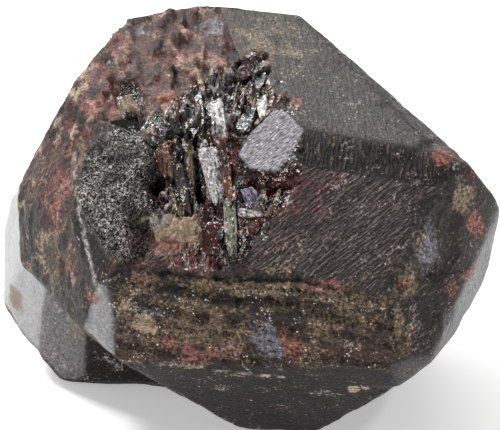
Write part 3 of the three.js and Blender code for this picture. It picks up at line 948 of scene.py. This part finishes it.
def skin(shape):
    """The whole skin: points, quads, triangles and the numbers that the material reads."""
    grown = grown_skin(shape)
    at = broken_places(grown)
    height = carved(grown, at, shape)
    # Inside the rift the heights point out of it, elsewhere out of the face.
    toward = unit(grown.normal * (1 - at.rift[:, None]) + unit(RIFT_OUT) * at.rift[:, None])
    points = grown.points + toward * height[:, None]
    points[(grown.own == len(MAIN_FACES)) | (points[:, 2] < 0), 2] = 0.0
    masks, grain = material_masks(grown, at, points)
    return points, *polar_faces(shape.rings, shape.spokes), masks, grain


# ---- Splinters in the rift --------------------------------------------------------------

def splinter_points(starts, ends, flats, widths, depths, uneven, taper, seed):
    """Corners of many splinters at once. Each has five four-sided rings from start to end,
    whose width follows a slab's blunt profile and narrows by the share `taper`, and a hash
    pushes every corner in or out by up to the share `uneven`. A point closes each end.
    Also gives each corner's place across, along and above its own splinter."""
    run = ends - starts
    along = unit(run)
    flat = unit(flats - along * (flats * along).sum(-1, keepdims=True))
    aside = np.cross(flat, along)
    # The first two corners bound the flat side, which faces the way of `flat`.
    turn = (np.arange(RING_CORNERS) + 0.5) * 2 * np.pi / RING_CORNERS
    cells = np.stack(np.meshgrid(np.arange(len(starts)), np.arange(len(RING_PLACES)),
                                 np.arange(RING_CORNERS), indexing="ij"), -1)
    push = 1 + 2 * uneven[:, None, None] * (hashed(cells, seed) - 0.5)
    shove = CORNER_SHOVE * (hashed(cells, seed + 1) - 0.5)
    place = RING_PLACES[None, :, None] + shove * RING_SHIFTS[None, :, None]
    radius = RING_WIDTHS[None, :, None] * push * (1 - taper[:, None, None] * place ** 2)
    across = radius * np.cos(turn) * widths[:, None, None] * CORNER_SHARE
    above = radius * np.sin(turn) * depths[:, None, None] * CORNER_SHARE
    length = np.linalg.norm(run, axis=1)
    inner = np.stack([across, place * length[:, None, None], above], -1).reshape(len(starts), -1, 3)
    ends = length[:, None, None] * np.array([[0, END_POINTS[0], 0], [0, END_POINTS[1], 0]])
    inner = np.concatenate([inner, ends], axis=1)
    outer = starts[:, None, :] + inner @ np.stack([aside, along, flat], 1)
    return outer, inner


def splinter_faces(count):
    """Quads between neighbouring rings and triangles to the two end points, for each of
    `count` splinters."""
    rings = len(RING_PLACES)
    ring = np.arange(rings * RING_CORNERS).reshape(rings, RING_CORNERS)
    after = np.roll(ring, -1, axis=1)
    quads = np.stack([ring[:-1], after[:-1], after[1:], ring[1:]], -1).reshape(-1, 4)
    tail = np.stack([np.full(RING_CORNERS, rings * RING_CORNERS), after[0], ring[0]], -1)
    tip = np.stack([np.full(RING_CORNERS, rings * RING_CORNERS + 1), ring[-1], after[-1]], -1)
    triangles = np.vstack([tail, tip])
    step = (np.arange(count) * (rings * RING_CORNERS + 2))[:, None, None]
    return (quads + step).reshape(-1, 4), (triangles + step).reshape(-1, 3)


def placed_splinters():
    """The larger splinters from the list: kinds, starts, ends, the ways of the flat sides,
    widths, depths, unevenness and taper."""
    kinds, *columns = zip(*BLADES)
    starts, ends, widths, depths, roll, taper = (np.array(column, float) for column in columns)
    up, roll = unit(RIFT_OUT), np.radians(roll)[:, None]
    flats = up * np.cos(roll) + np.cross(unit(ends - starts), up) * np.sin(roll)
    sink = up * (0.5 * depths + 0.3)[:, None]
    return (list(kinds), starts - sink, ends - sink, flats, 1.15 * widths, depths,
            np.full(len(kinds), 0.18), taper)


def strewn_splinters(points, masks, count, random):
    """Small splinters on fresh breaks that point along the fan, in the same terms."""
    up = unit(RIFT_OUT)
    clear = masks["pit"] < 0.2
    for name, gap in CLEAR_OF.items():
        clear = clear * (outline_depth(points, OUTLINES[name][-1]) < -gap)
    for _, start, end, *_ in BLADES[:2]:
        clear = clear * (segment_distance(points, start, end) > CLEAR_OF_BLADES)
    clear = clear * (segment_distance(points, *SLITS[0][:2]) > CLEAR_OF_SLIT)
    weight = (masks["fresh"] > 0.9) * clear
    middle = points[random.choice(len(points), count, p=weight / weight.sum())]
    heading = unit(unit(middle - FAN_ROOT) + 0.7 * unit(FAN_AXIS) + 0.16 * random.normal(size=(count, 3)))
    heading = unit(heading - up * (heading @ up)[:, None] + up * random.normal(0.03, 0.07, (count, 1)))
    half = heading * random.uniform(*STREWN_LENGTHS, (count, 1)) / 2
    flat = unit(up + 0.35 * random.normal(size=(count, 3)))
    width = random.uniform(*STREWN_WIDTHS, count)
    depth = width * random.uniform(*STREWN_THICKNESS, count)
    middle = middle - up * (depth * 0.35)[:, None]
    return (list(random.choice(STREWN, count)), middle - half, middle + half, flat, width, depth,
            np.full(count, 0.3), random.uniform(0.1, 0.9, count))


def splinters_of(points, masks, shape):
    """Every splinter's kind, and the measures of all of them."""
    strewn = strewn_splinters(points, masks, shape.rift_splinters, np.random.default_rng(5))
    kinds, *measures = zip(placed_splinters(), strewn)
    return sum(kinds, []), [np.concatenate(pair) for pair in measures]


def mesh_from(name, points, quads, triangles):
    """A mesh of quads and triangles from whole arrays, in metres and shaded smooth."""
    mesh = bpy.data.meshes.new(name)
    corners = np.concatenate([quads.ravel(), triangles.ravel()])
    starts = np.concatenate([np.arange(len(quads)) * 4,
                             len(quads) * 4 + np.arange(len(triangles)) * 3])
    mesh.vertices.add(len(points))
    mesh.vertices.foreach_set("co", (points * MM).ravel())
    mesh.loops.add(len(corners))
    mesh.loops.foreach_set("vertex_index", corners)
    mesh.polygons.add(len(starts))
    mesh.polygons.foreach_set("loop_start", starts)
    mesh.update(calc_edges=True)
    mesh.validate()
    return mesh


def store(mesh, name, values):
    """Keeps one number or one vector for each vertex under a name."""
    kind, key = ("FLOAT_VECTOR", "vector") if np.ndim(values) == 2 else ("FLOAT", "value")
    layer = mesh.attributes.new(name, kind, "POINT")
    layer.data.foreach_set(key, np.ascontiguousarray(values, np.float32).ravel())


# ---- Materials ---------------------------------------------------------------------------

def add(tree, kind, inputs=None, output=0, **settings):
    """Adds one node with its settings. An input that is a socket is linked, and any other
    value is set. Gives back one of the node's outputs."""
    node = tree.nodes.new(kind)
    for name, value in settings.items():
        setattr(node, name, value)
    for key, value in (inputs or {}).items():
        if isinstance(value, bpy.types.NodeSocket):
            tree.links.new(value, node.inputs[key])
        else:
            node.inputs[key].default_value = value
    return node.outputs[output]


def mask(tree, name):
    """One of the numbers kept on the mesh."""
    return add(tree, "ShaderNodeAttribute", output=2, attribute_name=name)


def math_of(tree, operation, *values, clamp=False):
    """A sum on one, two or three numbers."""
    return add(tree, "ShaderNodeMath", dict(enumerate(values)), operation=operation, use_clamp=clamp)


def times(tree, *values):
    return math_of(tree, "MULTIPLY", *values)


def times_plus(tree, value, factor, more):
    return math_of(tree, "MULTIPLY_ADD", value, factor, more)


def highest(tree, *values, clamp=False):
    return math_of(tree, "MAXIMUM", *values, clamp=clamp)


def ramp(tree, value, low=0.0, high=1.0, start=0.0, end=1.0, **settings):
    """Turns low to high into start to end, and holds both ends."""
    return add(tree, "ShaderNodeMapRange", {0: value, 1: low, 2: high, 3: start, 4: end}, **settings)


def mixed(tree, share, plain, other):
    """A number that is `plain` where the share is 0 and `other` where it is 1."""
    return add(tree, "ShaderNodeMix", {0: share, 2: plain, 3: other})


def laid_over(tree, share, below, above):
    """One colour laid over another."""
    return add(tree, "ShaderNodeMix", {0: share, 6: below, 7: above}, output=2, data_type="RGBA")


def scaled(tree, vector, factor):
    return add(tree, "ShaderNodeVectorMath", {0: vector, "Scale": factor}, operation="SCALE")


def stretched(tree, vector, factors):
    return add(tree, "ShaderNodeVectorMath", {0: vector, 1: factors}, operation="MULTIPLY")


def grains(tree, place, scale, detail, roughness):
    """Noise from about 0.3 to 0.7, `scale` grains to the metre, or to the unit of place."""
    return add(tree, "ShaderNodeTexNoise", {"Vector": place, "Scale": scale, "Detail": detail,
                                            "Roughness": roughness})


def glittering(tree, normal, place, amount):
    """Small facets: space is cut into cells of about 0.3 mm, and each cell turns the
    normal its own way by up to `amount`, so that single grains flash in the light."""
    cells = add(tree, "ShaderNodeTexVoronoi", {"Vector": place, "Scale": FACETS_PER_METRE}, output=1)
    swing = add(tree, "ShaderNodeVectorMath", {0: cells, 1: (0.5, 0.5, 0.5)}, operation="SUBTRACT")
    swing = scaled(tree, swing, amount)
    turned = add(tree, "ShaderNodeVectorMath", {0: normal, 1: swing}, operation="ADD")
    return add(tree, "ShaderNodeVectorMath", {0: turned}, operation="NORMALIZE")


def with_painted_glints(tree, colour, glint_colour, place, amount):
    """Painted glints: single pale flakes of about 0.2 mm on a colour, partly mica and partly
    standing in for grains that catch the light. Space is cut into cells, and the share of the
    cells that `amount` gives are flakes."""
    cells = add(tree, "ShaderNodeTexVoronoi", {"Vector": place, "Scale": GLINTS_PER_METRE}, output=1)
    chance = add(tree, "ShaderNodeSeparateColor", {0: cells})
    flakes = ramp(tree, math_of(tree, "ADD", amount, chance), 1.0, 1.05, 0.0, 0.9)
    return laid_over(tree, flakes, colour, glint_colour)


def empty_material(name):
    """A new material and its cleared node tree."""
    material = bpy.data.materials.new(name)
    material.use_nodes = True
    material.node_tree.nodes.clear()
    return material, material.node_tree


def finish(tree, **inputs):
    """Links a Principled shader with these inputs to a new output."""
    inputs = {name.replace("_", " "): value for name, value in inputs.items()}
    shader = add(tree, "ShaderNodeBsdfPrincipled", inputs)
    output = tree.nodes.new("ShaderNodeOutputMaterial")
    tree.links.new(shader, output.inputs["Surface"])


def stained_colour(tree, colours, broad, fine):
    """The stone's body, the films of whole faces, fresh breaks and stains, in that order.
    Also gives how thickly each kind of stain covers."""
    colour = laid_over(tree, ramp(tree, broad, 0.38, 0.66), colours.dark, colours.brown)
    for kind in FILM_KINDS:
        film = math_of(tree, "MINIMUM", mask(tree, kind), 1.0)
        if kind == "pale":
            # The silvery film is worn through in fine scratches.
            film = math_of(tree, "ADD", times_plus(tree, fine, 0.8, -0.4), mask(tree, kind))
            film = math_of(tree, "MULTIPLY", film, mask(tree, kind), clamp=True)
        colour = laid_over(tree, film, colour, getattr(colours, kind))
    # A fresh break is black where no stain has reached it.
    colour = laid_over(tree, mask(tree, "fresh"), colour, colours.black)

    # Each stain shows where its mask, frayed by the grains, passes a threshold.
    fray = math_of(tree, "ADD", fine, -0.5)
    frayed = times_plus(tree, math_of(tree, "ADD", broad, -0.5), 1.2, fray)
    cover = {}
    for kind in STAIN_KINDS:
        level = times_plus(tree, frayed, 1.8, mask(tree, kind))
        cover[kind] = ramp(tree, level, 0.3, 0.9, 0.0, 0.85, interpolation_type="SMOOTHSTEP")
        colour = laid_over(tree, cover[kind], colour, getattr(colours, kind))
    return colour, cover, fray


def plate_net(tree, place, broad):
    """Etching drew a fine pale net on the plate: the places where a noise crosses one
    half. The seams are as pale."""
    net = math_of(tree, "SUBTRACT", grains(tree, place, 2300, 3, 0.65), 0.5)
    net = ramp(tree, math_of(tree, "ABSOLUTE", net), 0.0, 0.05, 0.8, 0.0)
    net = times(tree, net, ramp(tree, broad, 0.4, 0.62, 0.12, 0.9))
    return highest(tree, times(tree, net, mask(tree, "plate")), mask(tree, "seam"))


def shading(tree, broad, grit, lines, beige):
    """How light each grain is against the next: a factor on the colour."""
    shade = ramp(tree, grit, 0.36, 0.66, 0.1, 2.0)
    # The crown, the beige lump, the pale faces and the grey facet are more even.
    even = highest(tree, beige, times(tree, mask(tree, "crown"), 0.7))
    even = highest(tree, mask(tree, "pale"), times(tree, even, 0.7), clamp=True)
    even = times(tree, highest(tree, even, mask(tree, "grey")), 0.9)
    shade = mixed(tree, even, shade, 1.0)
    # The grey facet is brushed in fine lines, and the crown's crumbs of about 2 mm are
    # dark and light by turns.
    brushed = mixed(tree, mask(tree, "grey"), 1.0, ramp(tree, lines, 0.38, 0.62, 0.45, 1.75))
    crumbs = mixed(tree, mask(tree, "crown"), 1.0, ramp(tree, broad, 0.38, 0.62, 0.5, 1.65))
    return times(tree, times(tree, shade, brushed), crumbs)


def weathered_garnet(colours):
    """Almandine garnet, grown, broken and weathered: a vitreous, nearly black red-brown
    body whose growth lines glint, dulled by rusty and chalky films."""
    material, tree = empty_material("weathered garnet")
    place = add(tree, "ShaderNodeTexCoord", output=3)
    grain = add(tree, "ShaderNodeAttribute", output=1, attribute_name="grain")
    # Mottling in patches of about 3 mm, grains of about 0.5 mm and grit of about 0.3 mm.
    broad = grains(tree, place, 330, 6, 0.6)
    fine = grains(tree, place, 1900, 4, 0.75)
    grit = grains(tree, place, 2800, 2, 0.6)
    colour, cover, fray = stained_colour(tree, colours, broad, fine)

    # The plate is black, less so where it is stained red, and the cavity is deep red.
    black = times(tree, mask(tree, "plate"), times_plus(tree, cover["red"], -0.55, 0.95))
    colour = laid_over(tree, black, colour, colours.black)
    colour = laid_over(tree, mask(tree, "cavity"), colour, colours.red)
    # Pale dust lies in the growth lines, which are about 0.5 mm apart and 2 mm long.
    lines = grains(tree, stretched(tree, grain, (3.0, 0.6, 1.0)), 1.0, 2, 0.5)
    dust = times(tree, ramp(tree, lines, 0.58, 0.7, 0.0, 0.62), mask(tree, "lines"))
    colour = laid_over(tree, dust, colour, colours.streak)
    colour = laid_over(tree, mask(tree, "grey"), colour, colours.grainy)
    # Single pale grains, partly painted glints, the plate's net and, in clusters, bright flakes that are
    # painted glints.
    specks_and_glints = ramp(tree, times_plus(tree, broad, 0.25, grit), 0.80, 0.88, 0.0, 0.8)
    colour = laid_over(tree, specks_and_glints, colour, colours.speck_and_glint)
    colour = laid_over(tree, plate_net(tree, place, broad), colour, colours.flake_and_glint)
    cluster = times(tree, ramp(tree, broad, 0.44, 0.62, 0.03, 0.34), mask(tree, "fresh"))
    for name, amount in (("grey", 0.05), ("chips", 0.08)):
        cluster = times_plus(tree, mask(tree, name), amount, cluster)
    colour = with_painted_glints(tree, colour, colours.flake_and_glint, place, cluster)
    colour = scaled(tree, colour, shading(tree, broad, grit, lines, cover["beige"]))
    # Painted shade: the holes, slits, the hollow and the creases darken the colour down to a tenth.
    colour = scaled(tree, colour, ramp(tree, mask(tree, "pit"), start=1.0, end=0.1))

    # Gloss: fresh breaks, the plate and the crown are glassy, films are dull.
    dull = times_plus(tree, highest(tree, cover["ochre"], cover["brick"]), 0.22, 0.36)
    dull = times_plus(tree, fray, 0.5, dull)
    dull = times_plus(tree, mask(tree, "dark"), 0.2, dull)
    glassy = highest(tree, mask(tree, "fresh"), mask(tree, "plate"))
    glassy = times_plus(tree, mask(tree, "crown"), 0.9, glassy)
    rough = add(tree, "ShaderNodeClamp", {0: times_plus(tree, glassy, -0.2, dull), 1: 0.12, 2: 0.8})
    # The etched plate and the dull dark films, which on the undersides are painted shade, scatter their
    # gloss away and stay black.
    etched = times_plus(tree, mask(tree, "dark"), 0.8, mask(tree, "plate"))
    gloss = ramp(tree, etched, start=1.0, end=0.35)

    # Relief: the growth lines, and grit of 0.2 to 0.5 mm, stronger on rough places.
    grit_height = times(tree, times_plus(tree, mask(tree, "rough"), 1.2, 0.7), fine)
    relief = times_plus(tree, times(tree, lines, mask(tree, "lines")), 1.2, grit_height)
    bump = add(tree, "ShaderNodeBump", {"Height": relief, "Strength": 0.8, "Distance": 0.35 * MM})
    sparkle = 0.12
    for name, amount in (("fresh", 0.5), ("grey", 0.4), ("plate", 0.2), ("crown", 0.25)):
        sparkle = times_plus(tree, mask(tree, name), amount, sparkle)
    finish(tree, Base_Color=colour, Roughness=rough, IOR=1.6, Specular_IOR_Level=0.3,
           Specular_Tint=gloss, Normal=glittering(tree, bump, place, sparkle))
    return material


def fresh_splinter(glint_colour):
    """Freshly broken garnet: conchoidal and glassy, dark until a facet catches the light.
    The tint, the glitter and the roughness of each splinter are kept on the mesh."""
    material, tree = empty_material("freshly broken garnet")
    place = add(tree, "ShaderNodeTexCoord", output=3)
    tint = add(tree, "ShaderNodeAttribute", output=1, attribute_name="tint")
    grain = add(tree, "ShaderNodeAttribute", output=1, attribute_name="grain")
    # Fibres of about 0.3 mm along the splinter run from black to its tint, and pale flakes,
    # partly mica and partly painted glints, lie in clusters.
    fibres = grains(tree, stretched(tree, grain, (4.0, 1.2, 4.0)), 1.0, 5, 0.75)
    colour = scaled(tree, tint, ramp(tree, fibres, 0.40, 0.62, 0.08, 1.7))
    cluster = ramp(tree, grains(tree, place, 700, 2, 0.6), 0.48, 0.68, 0.0, 0.6)
    cluster = times(tree, mask(tree, "glitter"), cluster)
    colour = with_painted_glints(tree, colour, glint_colour, place, cluster)
    ripple = grains(tree, place, 900, 4, 0.6)
    bump = add(tree, "ShaderNodeBump", {"Height": ripple, "Strength": 0.7, "Distance": 0.4 * MM})
    finish(tree, Base_Color=colour, Roughness=mask(tree, "roughness"), IOR=GARNET_IOR,
           Normal=glittering(tree, bump, place, mask(tree, "glitter")))
    return material


def studio_floor(colours):
    """Opal white acrylic, lit from below, as on a product table."""
    material = bpy.data.materials.new("opal acrylic")
    material.use_nodes = True
    shader = material.node_tree.nodes["Principled BSDF"]
    for name, value in (("Base Color", colours.floor), ("Roughness", 0.9),
                        ("Emission Color", colours.floor), ("Emission Strength", 0.4)):
        shader.inputs[name].default_value = value
    return material


# ---- Operators ---------------------------------------------------------------------------

def link(obj):
    bpy.context.scene.collection.objects.link(obj)
    return obj


class GARNET_OT_crystal(bpy.types.Operator):
    """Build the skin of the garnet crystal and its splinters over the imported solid"""
    bl_idname = "garnet.crystal"
    bl_label = "Garnet crystal"

    def execute(self, context):
        shape = context.scene.garnet_shape
        colours = context.scene.garnet_colours
        low, high = (np.array(corner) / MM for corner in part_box("garnet_crystal"))
        # From the specimen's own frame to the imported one: middle to middle, floor to floor.
        shift = (low + high) / 2 - OWN_MIDDLE
        shift[2] = low[2]

        points, quads, triangles, masks, grain = skin(shape)
        places = np.clip(points + shift, low - SKIN_SPARE, high + SKIN_SPARE)
        skin_mesh = mesh_from("garnet_crystal_skin", places, quads, triangles)
        for name, values in masks.items():
            store(skin_mesh, name, values)
        store(skin_mesh, "grain", grain)
        skin_mesh.materials.append(weathered_garnet(colours))
        skin_piece = link(bpy.data.objects.new("garnet_crystal_skin", skin_mesh))

        kinds, measures = splinters_of(points, masks, shape)
        corners, inner = splinter_points(*measures, seed=211)
        each = corners.shape[1]
        places = np.clip(corners.reshape(-1, 3) + shift, low, high)
        splinter_mesh = mesh_from("garnet_crystal_splinters", places, *splinter_faces(len(kinds)))
        splinter_mesh.shade_flat()
        # No two splinters have quite the same tint, or fibres that start at the same place.
        numbers = np.arange(len(kinds))[:, None]
        tints = np.array([list(getattr(colours, kind))[:3] for kind in kinds])
        tints *= 0.7 + 0.6 * hashed(3 * numbers + np.arange(3), 213)[:, None]
        store(splinter_mesh, "tint", np.repeat(tints, each, axis=0))
        store(splinter_mesh, "grain", (inner + FIBRE_STEP * numbers[..., None]).reshape(-1, 3))
        for name, values in zip(("glitter", "roughness"),
                                zip(*(SPLINTER_KINDS[kind] for kind in kinds))):
            store(splinter_mesh, name, np.repeat(values, each))
        splinter_mesh.materials.append(fresh_splinter(colours.flake_and_glint))
        splinter_piece = link(bpy.data.objects.new("garnet_crystal_splinters", splinter_mesh))

        for piece in (skin_piece, splinter_piece):
            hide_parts("garnet_crystal")
            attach(piece, "root")
        return {"FINISHED"}


# ---- The stage, in metres and watts ------------------------------------------------------

FLOOR_SIDE = 3.0
LIGHT_AIM = Vector((0, 0, 0.024))
# name: place, size, power
LIGHTS = {
    "back light": ((-0.3, 0.9, 0.95), (1.8, 1.2), 17),
    "left light": ((-1.0, -0.1, 0.3), (0.9, 0.6), 3.2),
    "right light": ((1.0, 0.1, 0.3), (0.9, 0.6), 2.2),
    "key light": ((-0.55, 0.35, 0.76), (0.12, 0.12), 6.0),
    "glint light": ((0.45, -0.45, 0.77), (0.07, 0.07), 1.6),
}
ROOM_COLOUR = (1.0, 0.98, 0.95, 1)
ROOM_STRENGTH = 0.2
CAMERA_TARGET = Vector((0.00056, -0.00038, 0.0245))
CAMERA_LIFT = math.radians(25)
CAMERA_DISTANCE = 0.5
SENSOR_WIDTH = 36
FOCAL_LENGTH = 290


def aimed(name, data, place, target):
    """A light or a camera at a place, turned to a target."""
    obj = link(bpy.data.objects.new(name, data))
    obj.location = place
    obj.rotation_euler = (target - obj.location).to_track_quat("-Z", "Y").to_euler()
    return obj


class GARNET_OT_stage(bpy.types.Operator):
    """Build the floor, the soft lights and the camera"""
    bl_idname = "garnet.stage"
    bl_label = "Stage"

    def execute(self, context):
        scene = context.scene
        side = FLOOR_SIDE
        floor_mesh = bpy.data.meshes.new("floor")
        floor_mesh.from_pydata([(-side, -side, 0), (side, -side, 0), (side, side, 0), (-side, side, 0)],
                               [], [(0, 1, 2, 3)])
        floor_mesh.materials.append(studio_floor(scene.garnet_colours))
        link(bpy.data.objects.new("floor", floor_mesh))

        for name, (place, size, power) in LIGHTS.items():
            light = bpy.data.lights.new(name, "AREA")
            light.shape = "RECTANGLE"
            light.size, light.size_y = size
            light.energy = power
            aimed(name, light, place, LIGHT_AIM)

        world = bpy.data.worlds.new("studio")
        world.use_nodes = True
        background = world.node_tree.nodes["Background"]
        background.inputs["Color"].default_value = ROOM_COLOUR
        background.inputs["Strength"].default_value = ROOM_STRENGTH
        scene.world = world
        scene.view_settings.view_transform = "Standard"

        camera = bpy.data.cameras.new("camera")
        camera.sensor_width = SENSOR_WIDTH
        camera.lens = FOCAL_LENGTH
        away = Vector((0, -math.cos(CAMERA_LIFT), math.sin(CAMERA_LIFT))) * CAMERA_DISTANCE
        scene.camera = aimed("camera", camera, CAMERA_TARGET + away, CAMERA_TARGET)
        return {"FINISHED"}


class GARNET_PT_panel(bpy.types.Panel):
    """Lists the garnet's operators"""
    bl_label = "Garnet crystal"
    bl_space_type = "VIEW_3D"
    bl_region_type = "UI"
    bl_category = "Garnet"

    def draw(self, context):
        for operator in OPERATORS:
            self.layout.operator(operator.bl_idname)


OPERATORS = (GARNET_OT_crystal, GARNET_OT_stage)
CLASSES = (GarnetShape, GarnetColours, *OPERATORS, GARNET_PT_panel)


def register():
    for cls in CLASSES:
        bpy.utils.register_class(cls)
    bpy.types.Scene.garnet_shape = bpy.props.PointerProperty(type=GarnetShape)
    bpy.types.Scene.garnet_colours = bpy.props.PointerProperty(type=GarnetColours)


def unregister():
    del bpy.types.Scene.garnet_colours
    del bpy.types.Scene.garnet_shape
    for cls in reversed(CLASSES):
        bpy.utils.unregister_class(cls)


def main():
    register()
    bpy.ops.garnet.crystal()
    bpy.ops.garnet.stage()


if __name__ == "__main__":
    main()
